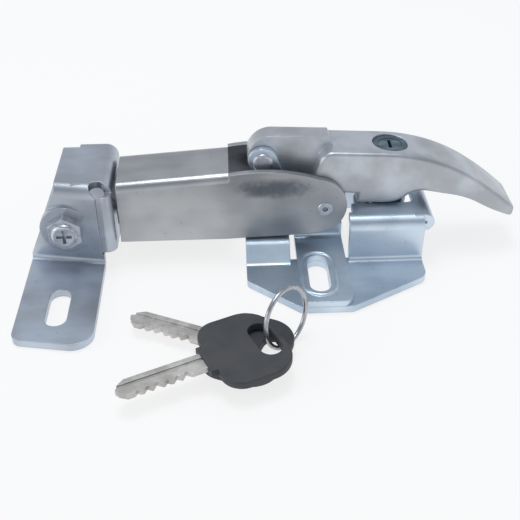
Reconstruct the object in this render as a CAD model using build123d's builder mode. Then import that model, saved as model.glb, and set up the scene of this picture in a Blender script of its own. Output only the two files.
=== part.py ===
"""Over-centre draw latch with a locking claw handle, keeper bracket and a ring of two keys.

Millimetres. +X runs from the keeper to the tip of the handle, +Z up from the mounting plane,
Y = 0 is the middle plane of arm and handle. The origin is midway between the two base slots.
"""

import os
from math import cos, radians, sin

from build123d import *

os.makedirs("parts", exist_ok=True)

# ---------------------------------------------------------------- driving dimensions
# stock and clearances
plate_sheet = 3.0
clevis_sheet = 2.5
arm_sheet = 2.5
keeper_sheet = 3.0
bend_mid_radius = 3.5
seat_gap = 0.3
running_gap = 0.05
side_play = 0.3

# mounting slots, both running along Y
slot_width = 8.5
base_slot_length = 24.0
base_slot_y = 33.3
keeper_slot_length = 22.0

# the two pivots of the toggle
pivot_x, pivot_z = -21.3, 42.3
pivot_pin_dia = 6.5
pivot_head_dia = 8.4
pivot_head_height = 1.7
clevis_ear_radius = 6.0
link_x, link_z = 4.0, 23.2
link_pin_dia = 6.3
link_boss_radius = 8.2

# base plate
foot_depth = 52.0
wing_right = 44.2
wing_half_width = 22.0
wing_height = 22.6
recess_left, recess_right = -10.6, 13.6
shelf_left = -28.9
shelf_height = 9.6
shelf_half_width = 16.0
curl_mid_radius = 2.2
curl_half_width = 19.0
cam_window_half = 8.8
cam_window_end = 41.5
ear_relief = 1.8

# clevis angles
clevis_left, clevis_right = -8.0, 12.1
tongue_half = 4.3

# handle
grip_half = 10.7
tongue_height = 52.2
grip_height = 47.4
tip_x, tip_z = 84.7, 17.3
core_wall = 3.4
grip_edge_radius = 1.7

# lock
lock_x = 31.0
barrel_dia = 14.6
cam_clearance = 0.5
plug_dia = 9.6
keyway_length = 6.4
keyway_width = 1.3
cam_length = 13.2
cam_width = 8.4
cam_sheet = 2.4
cam_screw_head = 7.0

# draw arm
arm_left = -80.7
roof_right = -35.2
arm_top_left, arm_top_right = 36.8, 40.0
arm_bottom_left, arm_bottom_right = 9.9, 10.7
arm_edge_radius = 3.6

# draw rod, its spring and nuts
rod_z = 19.0
rod_dia = 6.0
guide_x = -75.5
guide_sheet = 3.5
spring_length = 19.0
spring_wire = 1.7
spring_coil_dia = 9.6
spring_turns = 5.5
rod_washer_dia = 13.0
rod_washer_sheet = 1.5
nut_flats = 10.0
nut_height = 5.0
lock_nut_height = 3.2

# keeper bracket
keeper_gap = 1.5
keeper_top = 38.3
keeper_yaw = -10.4
keeper_bolt_x = -102.0
keeper_wall_y = -15.7
keeper_rear_y = 21.0
keeper_left = -118.4
keeper_right = -87.6
keeper_top_left = -105.0
keeper_foot_front = -68.2
keeper_foot_rear = 60.0
keeper_slot_front_y = -47.3
keeper_slot_rear_y = 42.3
flange_bottom = 8.0
seat_boss_dia = 21.0
seat_boss_height = 1.3

# keeper cross bolt, size M8
bolt_dia = 8.0
bolt_flats = 13.0
bolt_head_height = 3.8
bolt_dome_dia = 10.6
bolt_dome_height = 1.6
bolt_washer_dia = 16.0
bolt_washer_sheet = 1.6
bolt_nut_height = 6.5
eye_dia = 17.0
eye_width = 9.0
spacer_dia = 12.0

# keys and ring
ring_radius = 11.6
ring_wire = 1.8
ring_centre = (-15.7, -69.3, 12.8)
ring_turn = 48.0
ring_tilt = 8.0
key_head_length = 28.0
key_head_width = 35.0
key_head_thickness = 3.4
key_near_corner = 8.0
key_far_corner = 11.0
key_blade_length = 35.0
key_blade_width = 8.0
key_blade_thickness = 2.0
key_head_lift = 3.0
key_hole_length = 18.0
key_hole_width = 8.4
key_hole_from_shoulder = 21.6
# shoulder of each key (x, y), heading of its blade in degrees, height of its head
key_1_place = (-42.0, -71.0, 155.3, key_head_lift)
key_2_place = (-43.6, -86.0, 204.2, key_head_lift + key_head_thickness + 0.2)


# ---------------------------------------------------------------- helpers
def save(part, name):
    part.label = name
    export_step(part, f"parts/{name}.step")


def strip_section(plane, points, radius, thickness):
    """Cross-section of bent sheet: its middle line with rounded bends, drawn at sheet thickness."""
    with BuildSketch(plane) as section:
        with BuildLine():
            FilletPolyline(*points, radius=radius)
        trace(line_width=thickness)
    return section.sketch


def plan_outline(points, radii, z=0.0):
    """Closed outline in a horizontal plane; each corner has its own radius (0 = sharp)."""
    with BuildSketch(Plane.XY.offset(z)) as outline:
        with BuildLine():
            Polyline(*points, close=True)
        make_face()
        for point, radius in zip(points, radii):
            if radius > 0:
                corner = outline.vertices().sort_by_distance((*point, z))[0]
                fillet(corner, radius)
    return outline.sketch


def side_plane(y):
    """Plane of a side view: local x is +X, local y is +Z, normal is -Y."""
    return Plane(origin=(0, y, 0), x_dir=(1, 0, 0), z_dir=(0, -1, 0))


def across(y):
    """Plane facing the front at y, for round things whose axis runs along Y."""
    return side_plane(y)


# ---------------------------------------------------------------- base plate
mid = plate_sheet / 2
flat_start = wing_half_width + bend_mid_radius + 0.5
foot_front_points = [
    (shelf_left, -flat_start),
    (shelf_left, -34.0),
    (-8.2, -foot_depth),
    (12.1, -foot_depth),
    (wing_right, -33.8),
    (wing_right, -flat_start),
    (recess_right, -flat_start),
    (recess_right, -wing_half_width + 2.0),
    (recess_left, -wing_half_width + 2.0),
    (recess_left, -flat_start),
]
foot_front_radii = [0, 3.5, 3.0, 4.0, 6.0, 0, 0, 0, 0, 0]
bend_run = 4.0
wing_wall = wing_half_width - mid
wing_section = [
    (-wing_half_width - bend_run, mid),
    (-wing_wall, mid),
    (-wing_wall, wing_height - mid),
    (wing_wall, wing_height - mid),
    (wing_wall, mid),
    (wing_half_width + bend_run, mid),
]
shelf_wall = shelf_half_width - mid
shelf_section = [
    (-wing_half_width - bend_run, mid),
    (-wing_half_width - 1.0, mid),
    (-shelf_wall, shelf_height - mid),
    (shelf_wall, shelf_height - mid),
    (wing_half_width + 1.0, mid),
    (wing_half_width + bend_run, mid),
]
curl_z = wing_height - mid - curl_mid_radius
curl_x = wing_right + 0.7

with BuildPart() as base_plate:
    extrude(strip_section(Plane.YZ.offset(recess_right), wing_section, bend_mid_radius,
                          plate_sheet), amount=wing_right - recess_right)
    extrude(strip_section(Plane.YZ.offset(shelf_left), shelf_section, 4.0, plate_sheet),
            amount=recess_left - shelf_left)
    foot = extrude(plan_outline(foot_front_points, foot_front_radii), amount=plate_sheet)
    mirror(foot, about=Plane.XZ)
    # curled right end of the wing
    with BuildSketch(side_plane(curl_half_width)) as curl:
        with BuildLine():
            Line((wing_right - 4.0, wing_height - mid), (curl_x, wing_height - mid))
            CenterArc((curl_x, curl_z), curl_mid_radius, 90, -180)
            Line((curl_x, curl_z - curl_mid_radius), (curl_x - 1.6, curl_z - curl_mid_radius))
        trace(line_width=plate_sheet)
    extrude(amount=2 * curl_half_width)
    # opening under the handle for the lock cam, and relief for the ends of the arm's ears
    with BuildSketch(Plane.XY.offset(wing_height)) as window:
        with Locations(((recess_right + cam_window_end) / 2 - 3.0, 0)):
            RectangleRounded(cam_window_end - recess_right + 6.0, 2 * cam_window_half, 3.0)
        with Locations((recess_right, 0)):
            Rectangle(2 * ear_relief, 31.0)
    extrude(amount=-2 * plate_sheet, mode=Mode.SUBTRACT)
    # mounting slots
    with BuildSketch() as base_slots:
        with Locations((0, -base_slot_y), (0, base_slot_y)):
            SlotOverall(base_slot_length, slot_width, rotation=90)
    extrude(amount=plate_sheet, mode=Mode.SUBTRACT)
save(base_plate.part, "base_plate")

# ---------------------------------------------------------------- clevis angles
ear_inner = tongue_half + seat_gap
ear_outer = ear_inner + clevis_sheet
foot_mid = plate_sheet + clevis_sheet / 2
clevis_section = [
    (-foot_depth, foot_mid),
    (-ear_inner - clevis_sheet / 2, foot_mid),
    (-ear_inner - clevis_sheet / 2, 12.0),
]
boss_clearance = link_boss_radius + 2.2


def ear_outline():
    """Side view of a clevis ear: wide at the foot, leaning back to the round end at the pivot."""
    with BuildSketch(side_plane(-ear_inner)) as ear:
        with BuildLine():
            rise = Polyline((clevis_left, 8.0), (clevis_right, 8.0), (clevis_right, 10.6),
                            (link_x + 1.0, link_z - boss_clearance))
            hollow = ThreePointArc(rise @ 1, (link_x - 7.6, link_z - 7.1),
                                   (link_x - boss_clearance - 1.0, link_z + 1.0))
            neck = Line(hollow @ 1, (pivot_x + clevis_ear_radius, pivot_z + 0.5))
            top = ThreePointArc(neck @ 1, (pivot_x, pivot_z + clevis_ear_radius),
                                (pivot_x - clevis_ear_radius, pivot_z))
            Line(top @ 1, (clevis_left, 8.0))
        make_face()
    return ear.sketch


with BuildPart() as clevis_front:
    extrude(strip_section(Plane.YZ.offset(clevis_left), clevis_section, 3.0, clevis_sheet),
            amount=clevis_right - clevis_left)
    extrude(ear_outline(), amount=clevis_sheet)
    with BuildSketch(Plane.XY.offset(plate_sheet)) as foot_slot:
        with Locations((0, -base_slot_y)):
            SlotOverall(base_slot_length, slot_width, rotation=90)
    extrude(amount=clevis_sheet, mode=Mode.SUBTRACT)
    with BuildSketch(across(-ear_outer)) as ear_hole:
        with Locations((pivot_x, pivot_z)):
            Circle(pivot_pin_dia / 2)
    extrude(amount=-clevis_sheet, mode=Mode.SUBTRACT)
    foot_plan = plan_outline(
        [(clevis_left, -foot_depth), (clevis_right, -foot_depth), (clevis_right, 0.0),
         (-40.0, 0.0), (-40.0, -20.0), (clevis_left, -20.0)],
        [2.5, 4.0, 0, 0, 0, 0])
    extrude(foot_plan, amount=60.0, mode=Mode.INTERSECT)
save(clevis_front.part, "clevis_front")

with BuildPart() as clevis_rear:
    mirror(clevis_front.part, about=Plane.XZ)
save(clevis_rear.part, "clevis_rear")

# ---------------------------------------------------------------- handle pivot pin
with BuildPart() as pivot_pin:
    with BuildSketch(across(ear_outer)) as pin_round:
        with Locations((pivot_x, pivot_z)):
            Circle(pivot_pin_dia / 2)
    extrude(amount=2 * ear_outer)
    for face_y, outward in ((-ear_outer, 1), (ear_outer, -1)):
        with BuildSketch(across(face_y)) as head_round:
            with Locations((pivot_x, pivot_z)):
                Circle(pivot_head_dia / 2)
        extrude(amount=outward * pivot_head_height)
    rims = pivot_pin.edges().filter_by(GeomType.CIRCLE).group_by(Axis.Y)
    fillet(rims[0] + rims[-1], 1.0)
save(pivot_pin.part, "pivot_pin")

# ---------------------------------------------------------------- handle
# side view of the 20 mm wide casting: grip top, blunt tip, finger hollow, lock pad, link boss
with BuildSketch(side_plane(grip_half)) as grip_side:
    with BuildLine():
        flat = Line((7.3, grip_height), (28.0, grip_height - 1.1))
        shoulder = TangentArc(flat @ 0, (0.9, 42.0), tangent=(flat % 0) * -1)
        back = TangentArc(flat @ 1, (46.5, 42.9), tangent=flat % 1)
        slope = TangentArc(back @ 1, (64.0, 34.6), tangent=back % 1)
        beak = TangentArc(slope @ 1, (tip_x - 0.8, tip_z + 1.7), tangent=slope % 1)
        blunt = TangentArc(beak @ 1, (tip_x - 3.0, tip_z - 1.9), tangent=beak % 1)
        belly = TangentArc(blunt @ 1, (69.0, 21.4), tangent=blunt % 1)
        throat = TangentArc(belly @ 1, (56.0, 26.3), tangent=belly % 1)
        hollow = TangentArc(throat @ 1, (46.5, 28.3), tangent=throat % 1)
        knuckle = TangentArc(hollow @ 1, (38.0, 26.3), tangent=hollow % 1)
        heel = TangentArc(knuckle @ 1, (30.5, 23.4), tangent=knuckle % 1)
        pad_edge = TangentArc(heel @ 1, (24.0, 23.5), tangent=heel % 1)
        pad = Polyline(pad_edge @ 1, (17.4, 23.8), (17.4, 27.9), (12.6, 28.3),
                       (link_x + link_boss_radius, link_z))
        boss = ThreePointArc(pad @ 1, (link_x, link_z - link_boss_radius),
                             (link_x - link_boss_radius, link_z))
        Line(boss @ 1, shoulder @ 1)
    make_face()

with BuildSketch(side_plane(tongue_half)) as tongue_side:
    with BuildLine():
        crown = Line((5.4, tongue_height - 0.9), (-17.5, tongue_height + 0.2))
        nose = ThreePointArc(crown @ 1, (-25.0, 49.0), (-27.4, 42.4))
        chin = ThreePointArc(nose @ 1, (-23.0, 35.2), (-14.0, 33.4))
        Polyline(chin @ 1, (0.0, 30.0), (8.0, 30.0), (8.0, 46.0), crown @ 0)
    make_face()

# two cored pockets under the claw: their plan, cut off along a roof that follows the grip's top
with BuildPart() as grip_cores:
    with BuildSketch(side_plane(grip_half - core_wall)) as core_side:
        with BuildLine():
            roof = Spline((45.0, 39.4), (58.0, 33.6), (71.0, 25.4))
            Polyline(roof @ 1, (71.0, 10.0), (45.0, 10.0), roof @ 0)
        make_face()
    extrude(amount=2 * (grip_half - core_wall))
    with BuildSketch(Plane.XY) as core_plan:
        with Locations((51.0, 0), (64.5, 0)):
            RectangleRounded(11.0, 2 * (grip_half - core_wall), 2.5)
    extrude(amount=45.0, mode=Mode.INTERSECT)

with BuildPart() as handle:
    extrude(grip_side.sketch, amount=2 * grip_half)
    # soft edges all round the claw, then the blunt end is rounded in plan
    for side_y in (-grip_half, grip_half):
        fillet(handle.edges().filter_by_position(Axis.Y, side_y - 0.01, side_y + 0.01),
               grip_edge_radius)
    extrude(plan_outline([(-6.0, -grip_half), (tip_x + 0.2, -grip_half),
                          (tip_x + 0.2, grip_half), (-6.0, grip_half)], [0, 4.5, 4.5, 0]),
            amount=60.0, mode=Mode.INTERSECT)
    extrude(tongue_side.sketch, amount=2 * tongue_half)
    # the underside of the grip is cored out, with a rib across the middle
    add(grip_cores.part, mode=Mode.SUBTRACT)
    # bores: pivot pin, link pin, lock barrel
    with BuildSketch(across(grip_half)) as cross_bores:
        with Locations((pivot_x, pivot_z)):
            Circle(pivot_pin_dia / 2 + running_gap)
        with Locations((link_x, link_z)):
            Circle(link_pin_dia / 2 + running_gap)
    extrude(amount=2 * grip_half, mode=Mode.SUBTRACT)
    with BuildSketch(Plane.XY) as lock_bore:
        with Locations((lock_x, 0)):
            Circle(barrel_dia / 2)
    extrude(amount=60.0, mode=Mode.SUBTRACT)
save(handle.part, "handle")

# ---------------------------------------------------------------- lock
# the cam turns just below the underside of the wing, and the barrel ends just above the cam
barrel_top = 45.55
tail_dia = 6.0
cam_top = wing_height - plate_sheet - cam_clearance
barrel_bottom = cam_top + seat_gap

with BuildPart() as lock_barrel:
    with BuildSketch(Plane.XY.offset(barrel_bottom)) as barrel_round:
        with Locations((lock_x, 0)):
            Circle(barrel_dia / 2)
            Circle(plug_dia / 2 + running_gap, mode=Mode.SUBTRACT)
    extrude(amount=barrel_top - barrel_bottom)
    with BuildSketch(Plane.XY.offset(barrel_bottom)) as clip_groove:
        with Locations((lock_x, 0)):
            Circle(barrel_dia / 2)
            Circle(barrel_dia / 2 - 0.8, mode=Mode.SUBTRACT)
    extrude(amount=1.6, mode=Mode.SUBTRACT)
    fillet(lock_barrel.edges().group_by(Axis.Z)[-1].sort_by(SortBy.LENGTH)[-1], 0.5)
save(lock_barrel.part, "lock_barrel")

with BuildPart() as barrel_clip:
    with BuildSketch(Plane.XY.offset(barrel_bottom + 0.3)) as clip_round:
        with Locations((lock_x, 0)):
            Circle(barrel_dia / 2 + 1.2)
            Circle(barrel_dia / 2 - 0.8 + running_gap, mode=Mode.SUBTRACT)
        with Locations((lock_x, barrel_dia / 2)):
            Rectangle(6.0, barrel_dia, mode=Mode.SUBTRACT)
    extrude(amount=1.0)
save(barrel_clip.part, "barrel_clip")

with BuildPart() as lock_plug:
    with BuildSketch(Plane.XY.offset(barrel_bottom)) as plug_round:
        with Locations((lock_x, 0)):
            Circle(plug_dia / 2)
    extrude(amount=barrel_top - barrel_bottom - 0.2)
    with BuildSketch(Plane.XY.offset(cam_top - cam_sheet)) as tail_round:
        with Locations((lock_x, 0)):
            Rectangle(tail_dia - 1.2, tail_dia - 1.2)
    extrude(amount=cam_sheet + seat_gap)
    with BuildSketch(Plane.XY.offset(barrel_top)) as keyway:
        with Locations((lock_x, 0)):
            Rectangle(keyway_width, keyway_length)
    extrude(amount=-14.0, mode=Mode.SUBTRACT)
    with BuildSketch(Plane.XY.offset(cam_top - cam_sheet)) as tapped:
        with Locations((lock_x, 0)):
            Circle(1.5)
    extrude(amount=7.0, mode=Mode.SUBTRACT)
save(lock_plug.part, "lock_plug")

with BuildPart() as lock_cam:
    with BuildSketch(Plane.XY.offset(cam_top)) as cam_plan:
        with Locations((lock_x, 0)):
            Circle(cam_width / 2 + 0.6)
        with Locations((lock_x - cam_length / 2, 0)):
            Rectangle(cam_length, cam_width)
        with Locations((lock_x, 0)):
            Rectangle(tail_dia - 1.2, tail_dia - 1.2, mode=Mode.SUBTRACT)
    extrude(amount=-cam_sheet)
    tips = lock_cam.edges().filter_by(Axis.Z).group_by(Axis.X)[0]
    fillet(tips, 2.0)
save(lock_cam.part, "lock_cam")

with BuildPart() as cam_washer:
    with BuildSketch(Plane.XY.offset(cam_top - cam_sheet)) as washer_round:
        with Locations((lock_x, 0)):
            Circle(4.4)
            Circle(1.6, mode=Mode.SUBTRACT)
    extrude(amount=-0.8)
save(cam_washer.part, "cam_washer")

screw_top = cam_top - cam_sheet - 0.8
with BuildPart() as cam_screw:
    with BuildSketch(Plane.XY.offset(screw_top)) as screw_round:
        with Locations((lock_x, 0)):
            Circle(cam_screw_head / 2)
    extrude(amount=-2.2)
    fillet(cam_screw.edges().group_by(Axis.Z)[0], 0.8)
    with BuildSketch(Plane.XY.offset(screw_top)) as shank_round:
        with Locations((lock_x, 0)):
            Circle(1.5)
    extrude(amount=6.0)
    with BuildSketch(Plane.XY.offset(screw_top - 2.2)) as screw_cross:
        with Locations((lock_x, 0)):
            Rectangle(4.0, 0.8)
            Rectangle(0.8, 4.0)
    extrude(amount=1.0, mode=Mode.SUBTRACT)
save(cam_screw.part, "cam_screw")

# ---------------------------------------------------------------- draw arm
arm_inner = grip_half + side_play
arm_outer = arm_inner + arm_sheet

with BuildSketch(side_plane(arm_outer)) as channel_side:
    with BuildLine():
        Polyline((arm_left, arm_bottom_left), (arm_left, arm_top_left),
                 (roof_right, arm_top_right), (roof_right, arm_bottom_left), close=True)
    make_face()

with BuildSketch(side_plane(arm_outer)) as ear_side:
    with BuildLine():
        crest = ThreePointArc((roof_right, arm_top_right), (link_x - 15.2, 40.4),
                              (link_x - 2.7, 37.3))
        round_end = ThreePointArc(crest @ 1, (link_x + 8.9, link_z + 1.2),
                                  (link_x + 1.5, link_z - 10.6))
        Polyline(round_end @ 1, (link_x - 6.0, link_z - 12.0),
                 (roof_right - 1.0, arm_bottom_left), (roof_right - 1.0, arm_top_right - 6.0),
                 (roof_right, arm_top_right - 6.0), crest @ 0)
    make_face()

with BuildPart() as draw_arm:
    # channel with rounded upper corners, open below and at both ends
    extrude(channel_side.sketch, amount=2 * arm_outer)
    roof_sides = draw_arm.edges().filter_by(
        lambda edge: edge.center().Z > 37 and abs(edge.center().Y) > arm_inner)
    fillet(roof_sides, arm_edge_radius)
    # its side plates run on past the roof as two ears
    extrude(ear_side.sketch, amount=2 * arm_outer)
    with BuildSketch(Plane.YZ.offset(arm_left)) as hollow_end:
        with BuildLine():
            Polyline((-arm_inner, 0), (-arm_inner, arm_top_left - arm_sheet),
                     (arm_inner, arm_top_left - arm_sheet), (arm_inner, 0), close=True)
        make_face()
        fillet(hollow_end.vertices().group_by(Axis.Y)[-1], 1.2)
    with BuildSketch(Plane.YZ.offset(roof_right)) as hollow_mid:
        with BuildLine():
            Polyline((-arm_inner, 0), (-arm_inner, arm_top_right - arm_sheet),
                     (arm_inner, arm_top_right - arm_sheet), (arm_inner, 0), close=True)
        make_face()
        fillet(hollow_mid.vertices().group_by(Axis.Y)[-1], 1.2)
    loft(mode=Mode.SUBTRACT)
    # between the ears the arm is open to the top
    with BuildSketch(Plane.XY) as open_top:
        with Locations((roof_right + 30.0, 0)):
            Rectangle(60.0, 2 * arm_inner)
    extrude(amount=60.0, mode=Mode.SUBTRACT)
    with BuildSketch(across(arm_outer)) as link_holes:
        with Locations((link_x, link_z)):
            Circle(link_pin_dia / 2)
    extrude(amount=2 * arm_outer, mode=Mode.SUBTRACT)
save(draw_arm.part, "draw_arm")

with BuildPart() as link_pin:
    with BuildSketch(across(arm_outer + 0.3)) as link_round:
        with Locations((link_x, link_z)):
            Circle(link_pin_dia / 2)
    extrude(amount=2 * (arm_outer + 0.3))
    chamfer(link_pin.edges().filter_by(GeomType.CIRCLE), 0.3)
    for face_y, inward in ((-arm_outer - 0.3, -1), (arm_outer + 0.3, 1)):
        with BuildSketch(across(face_y)) as centre_mark:
            with Locations((link_x, link_z)):
                Circle(1.2)
        extrude(amount=inward * 2.5, mode=Mode.SUBTRACT)
save(link_pin.part, "link_pin")

# ---------------------------------------------------------------- inside the arm
def arm_roof_z(x):
    """Underside of the arm's roof at x."""
    slope = (arm_top_right - arm_top_left) / (roof_right - arm_left)
    return arm_top_left + slope * (x - arm_left) - arm_sheet


with BuildPart() as spring_guide:
    with BuildSketch(Plane.YZ.offset(guide_x)) as guide_face:
        guide_top = arm_roof_z(guide_x)
        guide_bottom = arm_bottom_left + 1.0
        with Locations((0, (guide_top + guide_bottom) / 2)):
            RectangleRounded(2 * arm_inner, guide_top - guide_bottom, 1.5)
        with Locations((0, rod_z)):
            Circle(rod_dia / 2 + 2 * running_gap, mode=Mode.SUBTRACT)
    extrude(amount=guide_sheet)
save(spring_guide.part, "spring_guide")

spring_start = guide_x + guide_sheet
washer_x = spring_start + spring_length
nut_x = washer_x + rod_washer_sheet
lock_nut_x = nut_x + nut_height
rod_end = lock_nut_x + lock_nut_height + 2.2

coil_run = spring_length - spring_wire - 0.1
with BuildPart() as draw_spring:
    with BuildLine() as coil:
        Helix(pitch=coil_run / spring_turns, height=coil_run, radius=spring_coil_dia / 2,
              center=(spring_start + spring_wire / 2 + 0.05, 0, rod_z), direction=(1, 0, 0))
    with BuildSketch(Plane(origin=coil.line @ 0, z_dir=coil.line % 0)) as wire_round:
        Circle(spring_wire / 2)
    sweep(wire_round.sketch, path=coil.line, is_frenet=True)
save(draw_spring.part, "draw_spring")

with BuildPart() as rod_washer:
    with BuildSketch(Plane.YZ.offset(washer_x)) as washer_face:
        with Locations((0, rod_z)):
            Circle(rod_washer_dia / 2)
            Circle(rod_dia / 2 + running_gap, mode=Mode.SUBTRACT)
    extrude(amount=rod_washer_sheet)
save(rod_washer.part, "rod_washer")


def rod_nut_solid(x, height):
    """Hexagon nut on the draw rod, chamfered on its outer corners by a cone."""
    with BuildPart() as nut:
        with BuildSketch(Plane.YZ.offset(x)) as hexagon:
            with Locations((0, rod_z)):
                RegularPolygon(nut_flats / 2, 6, major_radius=False)
        extrude(amount=height)
        with BuildSketch(Plane.YZ.offset(x)) as nut_hole:
            with Locations((0, rod_z)):
                Circle(rod_dia / 2)
        extrude(amount=height, mode=Mode.SUBTRACT)
    return nut.part


with BuildPart() as rod_nut:
    add(rod_nut_solid(nut_x, nut_height))
save(rod_nut.part, "rod_nut")

with BuildPart() as rod_lock_nut:
    add(rod_nut_solid(lock_nut_x, lock_nut_height))
save(rod_lock_nut.part, "rod_lock_nut")

# ---------------------------------------------------------------- draw rod with its eye
with BuildPart() as draw_rod:
    with BuildSketch(across(eye_width / 2)) as eye_round:
        with Locations((keeper_bolt_x, rod_z)):
            Circle(eye_dia / 2)
    extrude(amount=eye_width)
    fillet(draw_rod.edges().filter_by(GeomType.CIRCLE), 1.0)
    with BuildSketch(Plane.YZ.offset(keeper_bolt_x)) as rod_round:
        with Locations((0, rod_z)):
            Circle(rod_dia / 2)
    extrude(amount=rod_end - keeper_bolt_x)
    chamfer(draw_rod.edges().filter_by(GeomType.CIRCLE).sort_by(Axis.X)[-1], 0.8)
    with BuildSketch(across(eye_width / 2)) as eye_bore:
        with Locations((keeper_bolt_x, rod_z)):
            Circle(bolt_dia / 2 + running_gap)
    extrude(amount=eye_width, mode=Mode.SUBTRACT)
save(draw_rod.part, "draw_rod")

# ---------------------------------------------------------------- keeper bracket
keeper_flange_x = arm_left - keeper_gap
yaw = radians(keeper_yaw)
wall_plane = Plane(origin=(keeper_bolt_x, keeper_wall_y, 0),
                   x_dir=(cos(yaw), sin(yaw), 0), z_dir=(sin(yaw), -cos(yaw), 0))
section_plane = Plane(origin=(keeper_bolt_x, keeper_wall_y, 0),
                      x_dir=(sin(yaw), -cos(yaw), 0), z_dir=(-cos(yaw), -sin(yaw), 0))
keeper_mid = keeper_sheet / 2
front_wall_section = [
    (66.0, keeper_mid),
    (-keeper_mid, keeper_mid),
    (-keeper_mid, keeper_top - keeper_mid),
    (-20.0, keeper_top - keeper_mid),
]
rear_wall_section = [
    (0.0, keeper_top - keeper_mid),
    (keeper_rear_y - keeper_mid, keeper_top - keeper_mid),
    (keeper_rear_y - keeper_mid, keeper_mid),
    (keeper_foot_rear + 10.0, keeper_mid),
]
foot_turn = sin(yaw) / cos(yaw)


def front_edge_y(x):
    """Front edge of the keeper's foot, parallel to its slanting wall."""
    return keeper_foot_front + foot_turn * (x - keeper_bolt_x)


keeper_plan = [
    (keeper_left, front_edge_y(keeper_left)),
    (keeper_right, front_edge_y(keeper_right)),
    (keeper_right, keeper_foot_rear),
    (keeper_left, keeper_foot_rear),
]
wall_right = keeper_right - 0.9

with BuildPart() as keeper_bracket:
    # front and rear pressings, cut to the outline of the blank
    extrude(strip_section(section_plane, front_wall_section, bend_mid_radius, keeper_sheet),
            amount=24.0, both=True)
    extrude(strip_section(Plane.YZ.offset(keeper_left - 2.0), rear_wall_section,
                          bend_mid_radius, keeper_sheet),
            amount=wall_right - keeper_left + 2.0)
    extrude(plan_outline(keeper_plan, [4.5, 8.0, 9.0, 9.0], -1.0), amount=60.0,
            mode=Mode.INTERSECT)
    # the wall narrows towards the top on its left side
    with BuildSketch(side_plane(keeper_foot_rear + 20.0)) as taper:
        with BuildLine():
            Polyline((keeper_left - 5.0, 5.0), (keeper_left, 5.0),
                     (keeper_top_left, keeper_top - 2.0), (keeper_top_left, keeper_top + 5.0),
                     (keeper_left - 5.0, keeper_top + 5.0), close=True)
        make_face()
    extrude(amount=150.0, mode=Mode.SUBTRACT)
    with BuildSketch(side_plane(keeper_foot_rear + 20.0)) as wall_edge:
        with BuildLine():
            Polyline((wall_right, plate_sheet + 4.0), (wall_right, keeper_top + 5.0),
                     (keeper_right + 5.0, keeper_top + 5.0), (keeper_right + 5.0, 7.0),
                     close=True)
        make_face()
    extrude(amount=150.0, mode=Mode.SUBTRACT)
    # side flange that faces the arm, hanging from the top, with a short return at the front
    with BuildSketch(Plane.XZ.offset(-keeper_rear_y + 1.5)) as flange_bend:
        with BuildLine():
            FilletPolyline((keeper_bolt_x + 4.0, keeper_top - keeper_mid),
                           (keeper_flange_x - keeper_mid, keeper_top - keeper_mid),
                           (keeper_flange_x - keeper_mid, flange_bottom), radius=bend_mid_radius)
        trace(line_width=keeper_sheet)
    extrude(amount=keeper_rear_y - 1.5 + 13.5)
    with BuildSketch(Plane.XY.offset(flange_bottom)) as flange_return:
        with BuildLine():
            FilletPolyline((keeper_flange_x - keeper_mid, 10.0),
                           (keeper_flange_x - keeper_mid, -16.6),
                           (wall_right + 0.2, -16.6), radius=2.6)
        trace(line_width=keeper_sheet)
    extrude(amount=keeper_top - flange_bottom - 4.2)
    # raised round seat for the head of the cross bolt
    with BuildSketch(across(keeper_wall_y - seat_boss_height)) as seat_round:
        with Locations((keeper_bolt_x, rod_z)):
            Circle(seat_boss_dia / 2)
    extrude(amount=-seat_boss_height - 2.2)
    # corner relief where top, wall and side flange meet
    with BuildSketch(Plane.XY.offset(keeper_top - 8.5)) as relief:
        with Locations((wall_right + 0.6, -14.8)):
            Circle(3.1)
    extrude(amount=12.0, mode=Mode.SUBTRACT)
    # opening in the side flange for the draw rod
    with BuildSketch(Plane.YZ.offset(keeper_flange_x + 1.0)) as rod_window:
        with Locations((0, rod_z)):
            RectangleRounded(12.0, 13.0, 3.0)
    extrude(amount=-keeper_sheet - 4.0, mode=Mode.SUBTRACT)
    # cross bolt holes and mounting slots
    with BuildSketch(across(keeper_rear_y + 5.0)) as bolt_holes:
        with Locations((keeper_bolt_x, rod_z)):
            Circle(bolt_dia / 2 + running_gap)
    extrude(amount=60.0, mode=Mode.SUBTRACT)
    with BuildSketch() as keeper_slots:
        with Locations(((keeper_left + keeper_right) / 2, keeper_slot_front_y),
                       ((keeper_left + keeper_right) / 2, keeper_slot_rear_y)):
            SlotOverall(keeper_slot_length, slot_width, rotation=90)
    extrude(amount=keeper_sheet, mode=Mode.SUBTRACT)
save(keeper_bracket.part, "keeper_bracket")

# ---------------------------------------------------------------- cross bolt and its pieces
seat_y = keeper_wall_y - seat_boss_height
rear_washer_y = keeper_rear_y + bolt_washer_sheet
nut_y = rear_washer_y + bolt_nut_height

with BuildPart() as keeper_bolt:
    with BuildSketch(across(seat_y)) as head_hexagon:
        with Locations((keeper_bolt_x, rod_z)):
            RegularPolygon(bolt_flats / 2, 6, major_radius=False, rotation=30)
    extrude(amount=bolt_head_height)
    with BuildSketch(across(seat_y - bolt_head_height)) as dome_round:
        with Locations((keeper_bolt_x, rod_z)):
            Circle(bolt_dome_dia / 2)
    extrude(amount=bolt_dome_height)
    fillet(keeper_bolt.edges().filter_by(GeomType.CIRCLE).sort_by(Axis.Y)[0], 1.2)
    with BuildSketch(across(seat_y - bolt_head_height - bolt_dome_height)) as cross_recess:
        with Locations((keeper_bolt_x, rod_z)):
            Rectangle(6.4, 1.3)
            Rectangle(1.3, 6.4)
    extrude(amount=-2.4, mode=Mode.SUBTRACT)
    with BuildSketch(across(seat_y)) as bolt_round:
        with Locations((keeper_bolt_x, rod_z)):
            Circle(bolt_dia / 2)
    extrude(amount=-(nut_y + 2.0 - seat_y))
    chamfer(keeper_bolt.edges().filter_by(GeomType.CIRCLE).sort_by(Axis.Y)[-1], 0.8)
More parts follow.
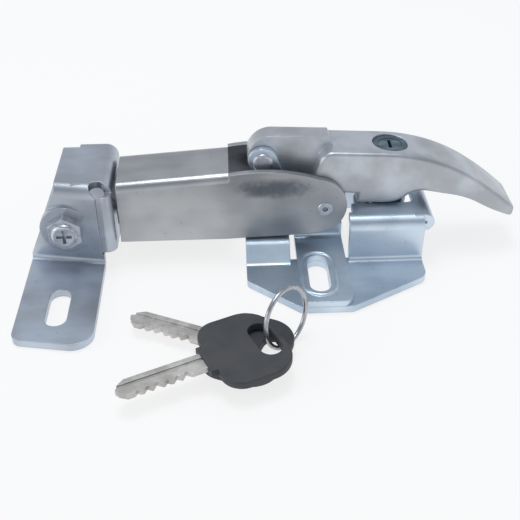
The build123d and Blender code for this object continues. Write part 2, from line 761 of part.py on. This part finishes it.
save(keeper_bolt.part, "keeper_bolt")

with BuildPart() as keeper_washer:
    with BuildSketch(across(rear_washer_y)) as rear_washer:
        with Locations((keeper_bolt_x, rod_z)):
            Circle(bolt_washer_dia / 2)
            Circle(bolt_dia / 2 + running_gap, mode=Mode.SUBTRACT)
    extrude(amount=bolt_washer_sheet)
save(keeper_washer.part, "keeper_washer")

with BuildPart() as keeper_nut:
    with BuildSketch(across(nut_y)) as nut_hexagon:
        with Locations((keeper_bolt_x, rod_z)):
            RegularPolygon(bolt_flats / 2, 6, major_radius=False, rotation=30)
            Circle(bolt_dia / 2, mode=Mode.SUBTRACT)
    extrude(amount=bolt_nut_height)
save(keeper_nut.part, "keeper_nut")

front_inside = keeper_wall_y + keeper_sheet + 1.2
rear_inside = keeper_rear_y - keeper_sheet
spacer_gap = 0.2


def spacer(y_low, y_high):
    """Tube on the cross bolt between the eye and a wall."""
    with BuildPart() as tube:
        with BuildSketch(across(y_high)) as tube_round:
            with Locations((keeper_bolt_x, rod_z)):
                Circle(spacer_dia / 2)
                Circle(bolt_dia / 2 + running_gap, mode=Mode.SUBTRACT)
        extrude(amount=y_high - y_low)
    return tube.part


with BuildPart() as spacer_front:
    add(spacer(front_inside, -eye_width / 2 - spacer_gap))
save(spacer_front.part, "spacer_front")

with BuildPart() as spacer_rear:
    add(spacer(eye_width / 2 + spacer_gap, rear_inside - 0.05))
save(spacer_rear.part, "spacer_rear")

# ---------------------------------------------------------------- keys on their ring
turn = radians(ring_turn)
tilt = radians(ring_tilt)
ring_side = Vector(cos(turn), sin(turn), 0)
ring_normal = Vector(sin(turn) * cos(tilt), -cos(turn) * cos(tilt), sin(tilt))
ring_plane = Plane(origin=ring_centre, x_dir=ring_side, z_dir=ring_normal)

with BuildPart() as key_ring:
    with BuildSketch(Plane(origin=Vector(*ring_centre) + ring_plane.x_dir * ring_radius,
                           x_dir=ring_plane.x_dir, z_dir=ring_plane.y_dir)) as wire:
        Circle(ring_wire / 2)
    revolve(wire.sketch, axis=Axis(ring_centre, ring_normal))
save(key_ring.part, "key_ring")


def key_plane(place, lift=0.0):
    """Plane of one key: origin at its shoulder, +x towards the tip of the blade."""
    heading = radians(place[2])
    return Plane(origin=(place[0], place[1], place[3] + lift),
                 x_dir=(cos(heading), sin(heading), 0), z_dir=(0, 0, 1))


blade_root = -9.0
blade_lift = (key_head_thickness - key_blade_thickness) / 2


def key_head_solid(place):
    """Moulded key head: rounded shield with a cross slot for the ring and a slit for the blade."""
    with BuildPart() as head:
        with BuildSketch(key_plane(place)) as shield:
            with Locations((-key_head_length / 2, 0)):
                Rectangle(key_head_length, key_head_width)
            fillet(shield.vertices().group_by(Axis.X)[0], key_far_corner)
            fillet(shield.vertices().group_by(Axis.X)[-1], key_near_corner)
            with Locations((-1.0, 0)):
                Rectangle(7.0, 14.0)
        extrude(amount=key_head_thickness)
        fillet(head.edges().filter_by(Axis.Z, reverse=True), 0.8)
        with BuildSketch(key_plane(place)) as ring_hole:
            with Locations((-key_hole_from_shoulder, 0)):
                SlotOverall(key_hole_length, key_hole_width, rotation=90)
        extrude(amount=key_head_thickness, mode=Mode.SUBTRACT)
        with BuildSketch(key_plane(place, blade_lift)) as blade_slit:
            with Locations((blade_root / 2 + 3.0, 0)):
                Rectangle(-blade_root + 6.0, key_blade_width)
        extrude(amount=key_blade_thickness, mode=Mode.SUBTRACT)
    return head.part


def key_blade_solid(place):
    """Flat key blade with a rounded tip, cuts along one edge and a groove along its face."""
    half = key_blade_width / 2
    tip = key_blade_length
    with BuildPart() as blade:
        with BuildSketch(key_plane(place, blade_lift)) as outline:
            with BuildLine():
                Polyline((blade_root, -half), (tip - 4.4, -half), (tip - 1.2, -2.0),
                         (tip, 0.2), (tip - 0.8, 1.9), (tip - 3.2, half), (blade_root, half),
                         close=True)
            make_face()
            for step in range(6):
                bite = 1.5 + 0.5 * (step % 3)
                with Locations((tip - 7.0 - 3.6 * step, half)):
                    Rectangle(bite, bite, rotation=45, mode=Mode.SUBTRACT)
        extrude(amount=key_blade_thickness)
        with BuildSketch(key_plane(place, blade_lift + key_blade_thickness)) as groove:
            with Locations((tip / 2, -1.2)):
                Rectangle(tip + 2.0, 1.4)
        extrude(amount=-0.6, mode=Mode.SUBTRACT)
    return blade.part


with BuildPart() as key_1_head:
    add(key_head_solid(key_1_place))
save(key_1_head.part, "key_1_head")

with BuildPart() as key_1_blade:
    add(key_blade_solid(key_1_place))
save(key_1_blade.part, "key_1_blade")

with BuildPart() as key_2_head:
    add(key_head_solid(key_2_place))
save(key_2_head.part, "key_2_head")

with BuildPart() as key_2_blade:
    add(key_blade_solid(key_2_place))
save(key_2_blade.part, "key_2_blade")
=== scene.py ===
import math

import bmesh
import bpy
from mathutils import Matrix, Vector


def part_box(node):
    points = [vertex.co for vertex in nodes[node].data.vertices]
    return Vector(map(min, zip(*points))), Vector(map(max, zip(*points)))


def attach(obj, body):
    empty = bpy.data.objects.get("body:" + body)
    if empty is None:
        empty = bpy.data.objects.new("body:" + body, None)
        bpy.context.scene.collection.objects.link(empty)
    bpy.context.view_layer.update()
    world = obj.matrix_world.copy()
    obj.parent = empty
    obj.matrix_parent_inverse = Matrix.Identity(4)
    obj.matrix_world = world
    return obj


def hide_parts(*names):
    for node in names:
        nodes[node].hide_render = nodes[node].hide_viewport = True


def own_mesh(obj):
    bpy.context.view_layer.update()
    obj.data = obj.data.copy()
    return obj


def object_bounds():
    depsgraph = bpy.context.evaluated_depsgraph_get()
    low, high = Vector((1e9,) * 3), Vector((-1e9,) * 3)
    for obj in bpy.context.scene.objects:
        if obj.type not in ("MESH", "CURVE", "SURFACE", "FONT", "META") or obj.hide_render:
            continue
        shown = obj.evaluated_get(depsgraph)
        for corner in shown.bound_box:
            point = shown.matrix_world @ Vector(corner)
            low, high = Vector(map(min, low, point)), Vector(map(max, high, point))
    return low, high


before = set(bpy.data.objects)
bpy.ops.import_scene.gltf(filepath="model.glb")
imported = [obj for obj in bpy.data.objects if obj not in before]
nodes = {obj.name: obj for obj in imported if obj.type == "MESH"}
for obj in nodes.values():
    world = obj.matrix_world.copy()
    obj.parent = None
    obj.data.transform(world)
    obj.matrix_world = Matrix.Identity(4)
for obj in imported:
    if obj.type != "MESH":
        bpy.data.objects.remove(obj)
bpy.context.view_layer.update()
scene = bpy.context.scene


# ---- materials: a socket that can be reckoned with, and a finish that holds the nodes
class Wire:
    def __init__(self, finish, socket):
        self.finish = finish
        self.socket = socket

    def reckon(self, operation, first, second, clamp=False):
        return self.finish.node("ShaderNodeMath", {"operation": operation, "use_clamp": clamp},
                                [first, second])

    def __add__(self, other):
        return self.reckon("ADD", self, other)

    def __radd__(self, other):
        return self.reckon("ADD", other, self)

    def __sub__(self, other):
        return self.reckon("SUBTRACT", self, other)

    def __rsub__(self, other):
        return self.reckon("SUBTRACT", other, self)

    def __mul__(self, other):
        return self.reckon("MULTIPLY", self, other)

    def __rmul__(self, other):
        return self.reckon("MULTIPLY", other, self)

    def clamped(self):
        return self.reckon("ADD", self, 0.0, clamp=True)

    def spread(self, low, high, newLow=0.0, newHigh=1.0):
        return self.finish.node("ShaderNodeMapRange", {"interpolation_type": "SMOOTHSTEP"},
                                {"Value": self, "From Min": low, "From Max": high,
                                 "To Min": newLow, "To Max": newHigh})


class Finish:
    def __init__(self, name, world=False):
        store = bpy.data.worlds if world else bpy.data.materials
        self.material = store.new(name)
        self.material.use_nodes = True
        self.tree = self.material.node_tree
        self.tree.nodes.clear()
        kind = "ShaderNodeOutputWorld" if world else "ShaderNodeOutputMaterial"
        self.output = self.tree.nodes.new(kind)

    def plug(self, socket, value):
        if isinstance(value, Wire):
            self.tree.links.new(value.socket, socket)
        elif isinstance(value, (tuple, list)) and len(value) == 3 and socket.type == "RGBA":
            socket.default_value = (*value, 1.0)
        else:
            socket.default_value = value

    def node(self, kind, settings=None, inputs=None, out=0):
        made = self.tree.nodes.new(kind)
        for key, value in (settings or {}).items():
            if key == "stops":
                self.setStops(made.color_ramp, value)
            else:
                setattr(made, key, value)
        pairs = inputs.items() if isinstance(inputs, dict) else enumerate(inputs or [])
        for key, value in pairs:
            self.plug(made.inputs[key], value)
        return Wire(self, made.outputs[out])

    def setStops(self, ramp, stops):
        while len(ramp.elements) < len(stops):
            ramp.elements.new(0.5)
        for element, (place, colour) in zip(ramp.elements, stops):
            element.position = place
            element.color = (*colour, 1.0)

    def place(self):
        return self.node("ShaderNodeTexCoord", out="Object")

    def axis(self, vector, letter):
        return self.node("ShaderNodeSeparateXYZ", None, [vector], out=letter)

    def noise(self, scale, detail=3.0, roughness=0.55, stretch=(1, 1, 1)):
        where = self.node("ShaderNodeMapping", None,
                          {"Vector": self.place(), "Scale": stretch})
        return self.node("ShaderNodeTexNoise", None,
                         {"Vector": where, "Scale": scale, "Detail": detail,
                          "Roughness": roughness})

    def mixColour(self, share, first, second):
        return self.node("ShaderNodeMix", {"data_type": "RGBA"},
                         {0: share, 6: first, 7: second}, out=2)

    def softEdge(self, radius):
        return self.node("ShaderNodeBevel", {"samples": 6}, {"Radius": radius})

    def bump(self, height, distance, strength=1.0, normal=None):
        inputs = {"Height": height, "Distance": distance, "Strength": strength}
        if normal:
            inputs["Normal"] = normal
        return self.node("ShaderNodeBump", None, inputs)

    def surface(self, **sockets):
        inputs = {key.replace("_", " "): value for key, value in sockets.items()}
        shader = self.node("ShaderNodeBsdfPrincipled", None, inputs)
        self.tree.links.new(shader.socket, self.output.inputs["Surface"])
        return self.material


# ---- zinc plated sheet: brighter and bluer on the two plates, greyer on the arm
zincGrain = {"cloud": 38.0, "streak": 90.0, "streakStretch": (0.35, 1.0, 1.0), "grain": 2600.0,
             "spots": 420.0, "spotFrom": 0.66, "spotTo": 0.74, "spotShare": 0.22,
             "spotShade": 0.55, "metallic": 0.88, "rough": 0.24, "bumpDepth": 0.00006,
             "edgeRadius": 0.0005}
zincSheets = {
    "basePlateZinc": {"light": (0.68, 0.78, 0.88), "shade": (0.47, 0.57, 0.68),
                      "nodes": ["base_plate", "clevis_front", "clevis_rear"]},
    "armZinc": {"light": (0.50, 0.51, 0.53), "shade": (0.37, 0.38, 0.40),
                "nodes": ["draw_arm", "spring_guide"],
                # painted dark reflection: a dark blue-grey patch mixed into the arm's colour
                # beside the link pin
                "paintedReflection": {"from": "link_pin", "shift": (-0.021, 0.0105),
                           "reach": (0.017, 0.0048), "share": 0.8,
                           "colour": (0.085, 0.10, 0.13)}},
    "keeperZinc": {"light": (0.56, 0.63, 0.72), "shade": (0.42, 0.45, 0.50),
                   "nodes": ["keeper_bracket"]},
}


def boxCentre(name):
    low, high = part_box(name)
    return [(a + b) / 2 for a, b in zip(low, high)]


# mask of the painted dark reflection on the arm: a noisy ellipse set off from the link pin's
# box centre
def paintedReflectionMask(finish, paintedReflection):
    centre = boxCentre(paintedReflection["from"])
    place = finish.place()
    along = finish.axis(place, "X") - (centre[0] + paintedReflection["shift"][0])
    upward = finish.axis(place, "Z") - (centre[2] + paintedReflection["shift"][1])
    along = along * (1.0 / paintedReflection["reach"][0])
    upward = upward * (1.0 / paintedReflection["reach"][1])
    away = along * along + upward * upward + finish.noise(240.0, 4.0, 0.65) * 1.6
    return 1.0 - away.spread(0.75, 2.1)


def makeZinc(name, light, shade, paintedReflection=None):
    grained = zincGrain
    finish = Finish(name)
    cloud = finish.noise(grained["cloud"], 2.0, 0.5)
    streak = finish.noise(grained["streak"], 4.0, 0.6, stretch=grained["streakStretch"])
    grain = finish.noise(grained["grain"], 2.0, 0.6)
    spots = finish.noise(grained["spots"], 2.0, 0.5)
    spots = spots.spread(grained["spotFrom"], grained["spotTo"])
    blend = (cloud * 0.75 + streak * 0.35).spread(0.40, 0.68)
    colour = finish.mixColour(blend, shade, light)
    spotColour = tuple(grained["spotShade"] * c for c in shade)
    colour = finish.mixColour(spots * grained["spotShare"], colour, spotColour)
    # mix the painted dark reflection into the colour where its mask is high
    if paintedReflection:
        mask = paintedReflectionMask(finish, paintedReflection)
        colour = finish.mixColour(mask * paintedReflection["share"], colour, paintedReflection["colour"])
    rough = grained["rough"] + 0.14 * streak + 0.07 * grain
    height = grain * 0.35 + streak * 0.65
    normal = finish.bump(height, grained["bumpDepth"], 0.6,
                         finish.softEdge(grained["edgeRadius"]))
    return finish.surface(Base_Color=colour, Metallic=grained["metallic"], Roughness=rough,
                          Normal=normal)


def dress(material, names):
    for name in names:
        mesh = nodes[name].data
        mesh.materials.clear()
        mesh.materials.append(material)


for name, look in zincSheets.items():
    dress(makeZinc(name, look["light"], look["shade"], look.get("paintedReflection")), look["nodes"])
print("sheet finishes done")


# ---- satin casting of the handle
casting = {"light": (0.60, 0.64, 0.69), "shade": (0.44, 0.46, 0.49), "cloud": 55.0,
           "pebble": 1500.0, "metallic": 0.82, "bumpDepth": 0.00009, "edgeRadius": 0.0007}


def makeCasting():
    finish = Finish("handleCasting")
    cloud = finish.noise(casting["cloud"], 3.0, 0.55)
    pebble = finish.noise(casting["pebble"], 3.0, 0.65)
    colour = finish.mixColour(cloud.spread(0.35, 0.68), casting["shade"], casting["light"])
    normal = finish.bump(pebble * 0.6 + cloud * 0.4, casting["bumpDepth"], 0.55,
                         finish.softEdge(casting["edgeRadius"]))
    return finish.surface(Base_Color=colour, Metallic=casting["metallic"],
                          Roughness=0.33 + 0.12 * pebble, Normal=normal)


dress(makeCasting(), ["handle"])


# ---- small turned and plated steel pieces
smallSteels = {
    "brightSteel": {"colour": (0.62, 0.66, 0.72), "rough": 0.26,
                    "nodes": ["pivot_pin", "link_pin", "keeper_bolt", "keeper_washer",
                              "keeper_nut", "spacer_front", "spacer_rear", "lock_cam",
                              "cam_washer", "cam_screw", "barrel_clip"]},
    "rodSteel": {"colour": (0.52, 0.54, 0.57), "rough": 0.30,
                 "nodes": ["draw_rod", "rod_washer", "rod_nut", "rod_lock_nut"]},
    "springWire": {"colour": (0.30, 0.31, 0.33), "rough": 0.34, "nodes": ["draw_spring"]},
    "ringWire": {"colour": (0.50, 0.51, 0.54), "rough": 0.20, "nodes": ["key_ring"]},
}


def makeSteel(name, colour, rough):
    finish = Finish(name)
    dirt = finish.noise(300.0, 3.0, 0.6)
    turning = finish.noise(1400.0, 2.0, 0.5, stretch=(1.0, 0.2, 1.0))
    tint = finish.mixColour(dirt.spread(0.42, 0.72), colour, tuple(0.66 * c for c in colour))
    normal = finish.bump(turning, 0.00005, 0.5, finish.softEdge(0.0003))
    return finish.surface(Base_Color=tint, Metallic=0.9, Roughness=rough + 0.12 * dirt,
                          Normal=normal)


for name, look in smallSteels.items():
    dress(makeSteel(name, look["colour"], look["rough"]), look["nodes"])


# ---- lock barrel and plug, dark blue-grey with a brighter streak
lockLook = {"dark": (0.060, 0.090, 0.115), "pale": (0.105, 0.150, 0.190)}


def makeLockFace(name, shadeShare):
    finish = Finish(name)
    brushed = finish.noise(260.0, 4.0, 0.6, stretch=(0.25, 1.0, 1.0))
    fine = finish.noise(1800.0, 2.0, 0.5)
    pale = tuple(c * shadeShare for c in lockLook["pale"])
    colour = finish.mixColour(brushed.spread(0.40, 0.66), lockLook["dark"], pale)
    normal = finish.bump(brushed + 0.5 * fine, 0.00005, 0.5, finish.softEdge(0.0004))
    return finish.surface(Base_Color=colour, Metallic=0.15, Roughness=0.46 + 0.12 * fine,
                          Normal=normal)


dress(makeLockFace("barrelFace", 1.0), ["lock_barrel"])
dress(makeLockFace("plugFace", 1.35), ["lock_plug"])


# ---- keys
keyLook = {"black": (0.043, 0.047, 0.055), "worn": (0.062, 0.062, 0.066),
           "nickel": (0.48, 0.455, 0.43), "nickelLight": (0.68, 0.66, 0.63)}


def makeKeyPlastic():
    finish = Finish("keyHeadPlastic")
    cloud = finish.noise(70.0, 3.0, 0.55)
    pebble = finish.noise(2200.0, 3.0, 0.6)
    colour = finish.mixColour(cloud.spread(0.36, 0.66), keyLook["black"], keyLook["worn"])
    normal = finish.bump(pebble, 0.00008, 0.6, finish.softEdge(0.0005))
    return finish.surface(Base_Color=colour, Roughness=0.52 + 0.12 * pebble, Normal=normal)


def makeBlade():
    finish = Finish("keyBladeNickel")
    cloud = finish.noise(160.0, 3.0, 0.6)
    fine = finish.noise(1900.0, 2.0, 0.5)
    colour = finish.mixColour(cloud.spread(0.34, 0.68), keyLook["nickel"],
                              keyLook["nickelLight"])
    normal = finish.bump(cloud + 0.3 * fine, 0.00007, 0.5, finish.softEdge(0.0003))
    return finish.surface(Base_Color=colour, Metallic=0.75, Roughness=0.34 + 0.12 * fine,
                          Normal=normal)


dress(makeKeyPlastic(), ["key_1_head", "key_2_head"])
dress(makeBlade(), ["key_1_blade", "key_2_blade"])
print("all CAD nodes dressed")


# ---- stamped border round the slot of each clevis foot
borderLook = {"slotLength": 0.024, "slotWidth": 0.0085, "slotFromMiddle": 0.0333,
              "footSheet": 0.0025, "gap": 0.0022, "radius": 0.0009, "sink": 0.00025,
              "arcSteps": 14, "ringSides": 8}


def slotPath(length, width, steps):
    half, reach = (length - width) / 2, width / 2
    path = []
    for end in (1, -1):
        for step in range(steps + 1):
            angle = math.pi * step / steps + (0 if end > 0 else math.pi)
            path.append((reach * math.cos(angle), end * half + reach * math.sin(angle)))
    return path


def tubeAlong(name, points, radius, sides):
    bm = bmesh.new()
    rings = []
    count = len(points)
    for index, point in enumerate(points):
        ahead = (points[(index + 1) % count] - points[index - 1]).normalized()
        side = ahead.cross(Vector((0, 0, 1)))
        side = side.normalized() if side.length > 0.01 else Vector((1, 0, 0))
        top = side.cross(ahead)
        rings.append([bm.verts.new(point + radius * (math.cos(a) * side + math.sin(a) * top))
                      for a in (2 * math.pi * k / sides for k in range(sides))])
    for index in range(count):
        near, far = rings[index], rings[(index + 1) % count]
        for k in range(sides):
            bm.faces.new((near[k], near[(k + 1) % sides], far[(k + 1) % sides], far[k]))
    bmesh.ops.recalc_face_normals(bm, faces=bm.faces)
    mesh = bpy.data.meshes.new(name)
    bm.to_mesh(mesh)
    bm.free()
    for face in mesh.polygons:
        face.use_smooth = True
    made = bpy.data.objects.new(name, mesh)
    scene.collection.objects.link(made)
    return made


def makeSlotBorders():
    path = slotPath(borderLook["slotLength"] + 2 * borderLook["gap"],
                    borderLook["slotWidth"] + 2 * borderLook["gap"], borderLook["arcSteps"])
    baseCentre = boxCentre("base_plate")
    for node in ("clevis_front", "clevis_rear"):
        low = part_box(node)[0]
        sign = -1 if node == "clevis_front" else 1
        slotY = baseCentre[1] + sign * borderLook["slotFromMiddle"]
        top = low[2] + borderLook["footSheet"] - borderLook["sink"]
        points = [Vector((x, slotY + y, top)) for x, y in path]
        border = tubeAlong(node + "_slot_border", points, borderLook["radius"],
                           borderLook["ringSides"])
        border.data.materials.append(nodes[node].data.materials[0])
        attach(border, "base")


makeSlotBorders()
print("slot borders done")


def makeSpring():
    node = nodes["draw_spring"]
    coil = bpy.data.objects.new("draw_spring_coil", node.data.copy())
    scene.collection.objects.link(coil)
    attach(coil, "arm")
    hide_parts("draw_spring")
    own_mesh(coil)


makeSpring()
print("spring done")


# ---- floor
floorLook = {"size": 4.0, "drop": 0.0004, "shadowShare": 0.22}


def makeFloor():
    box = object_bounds()
    low = min(box[0][2], 0.0) - floorLook["drop"]
    bm = bmesh.new()
    bmesh.ops.create_grid(bm, x_segments=1, y_segments=1, size=floorLook["size"],
                          matrix=Matrix.Translation((0, 0, low)))
    mesh = bpy.data.meshes.new("floor")
    bm.to_mesh(mesh)
    bm.free()
    floor = bpy.data.objects.new("floor", mesh)
    scene.collection.objects.link(floor)
    finish = Finish("floorWhite")
    seen = finish.node("ShaderNodeLightPath", out="Is Camera Ray")
    glossy = finish.node("ShaderNodeLightPath", out="Is Glossy Ray")
    through = finish.node("ShaderNodeLightPath", out="Is Transmission Ray")
    white = (seen + glossy + through).clamped() * (1.0 - floorLook["shadowShare"])
    matt = finish.node("ShaderNodeBsdfDiffuse", None, {"Color": (0.9, 0.9, 0.9)})
    glow = finish.node("ShaderNodeEmission", None, {"Color": (1, 1, 1), "Strength": 1.0})
    both = finish.node("ShaderNodeMixShader", None, [white, matt, glow])
    finish.tree.links.new(both.socket, finish.output.inputs["Surface"])
    mesh.materials.append(finish.material)


makeFloor()


# ---- light
lamps = [
    {"name": "overhead", "at": (-0.10, 0.12, 0.95), "aim": (0.0, 0.0, 0.0), "size": 0.34,
     "power": 3.2, "colour": (0.93, 0.97, 1.0)},
    {"name": "leftFill", "at": (-0.85, -0.30, 0.35), "aim": (0.0, 0.0, 0.02), "size": 0.5,
     "power": 1.6, "colour": (1.0, 0.99, 0.97)},
]


def aimed(place, target):
    return (Vector(target) - Vector(place)).to_track_quat("-Z", "Y").to_matrix().to_4x4()


def makeLamps():
    for lamp in lamps:
        data = bpy.data.lights.new(lamp["name"], "AREA")
        data.shape = "SQUARE"
        data.size = lamp["size"]
        data.energy = lamp["power"]
        data.color = lamp["colour"]
        made = bpy.data.objects.new(lamp["name"], data)
        made.matrix_world = (Matrix.Translation(lamp["at"])
                             @ aimed(lamp["at"], lamp["aim"]))
        scene.collection.objects.link(made)


worldLook = {"strength": 0.92, "shade": (0.20, 0.23, 0.27), "shadeShare": 0.65,
             "stops": [(0.0, (0.92, 0.93, 0.95)), (0.28, (0.80, 0.82, 0.85)),
                       (0.50, (0.56, 0.58, 0.62)), (0.65, (0.44, 0.46, 0.50)),
                       (0.84, (0.38, 0.42, 0.47)), (1.0, (0.95, 0.98, 1.0))]}


def makeWorld():
    sky = Finish("studio", world=True)
    scene.world = sky.material
    ahead = sky.node("ShaderNodeTexCoord", out="Generated")
    height = sky.axis(ahead, "Z")
    towardFront = 0.0 - sky.axis(ahead, "Y")
    glow = sky.node("ShaderNodeValToRGB", {"stops": worldLook["stops"]}, {"Fac": height})
    dim = towardFront.spread(0.20, 0.60) * height.spread(0.30, 0.70)
    colour = sky.mixColour(dim * worldLook["shadeShare"], glow, worldLook["shade"])
    lit = sky.node("ShaderNodeBackground", None,
                   {"Color": colour, "Strength": worldLook["strength"]})
    sky.tree.links.new(lit.socket, sky.output.inputs["Surface"])


makeLamps()
makeWorld()


# ---- camera
cameraLook = {"at": (-0.03436, -0.31026, 0.21556), "turn": -2.2, "down": 36.18,
              "roll": -0.44, "lens": 59.70, "sensor": 36.0}


def makeCamera():
    turn, down, roll = (math.radians(cameraLook[k]) for k in ("turn", "down", "roll"))
    ahead = Vector((-math.sin(turn) * math.cos(down), math.cos(turn) * math.cos(down),
                    -math.sin(down)))
    level = Vector((math.cos(turn), math.sin(turn), 0.0))
    upright = level.cross(ahead)
    right = math.cos(roll) * level + math.sin(roll) * upright
    top = math.cos(roll) * upright - math.sin(roll) * level
    data = bpy.data.cameras.new("camera")
    data.lens = cameraLook["lens"]
    data.sensor_width = cameraLook["sensor"]
    data.clip_start = 0.01
    camera = bpy.data.objects.new("camera", data)
    turned = Matrix((right, top, -ahead)).transposed().to_4x4()
    camera.matrix_world = Matrix.Translation(cameraLook["at"]) @ turned
    scene.collection.objects.link(camera)
    scene.camera = camera


makeCamera()
scene.view_settings.view_transform = "Standard"
print("floor, light and camera done")
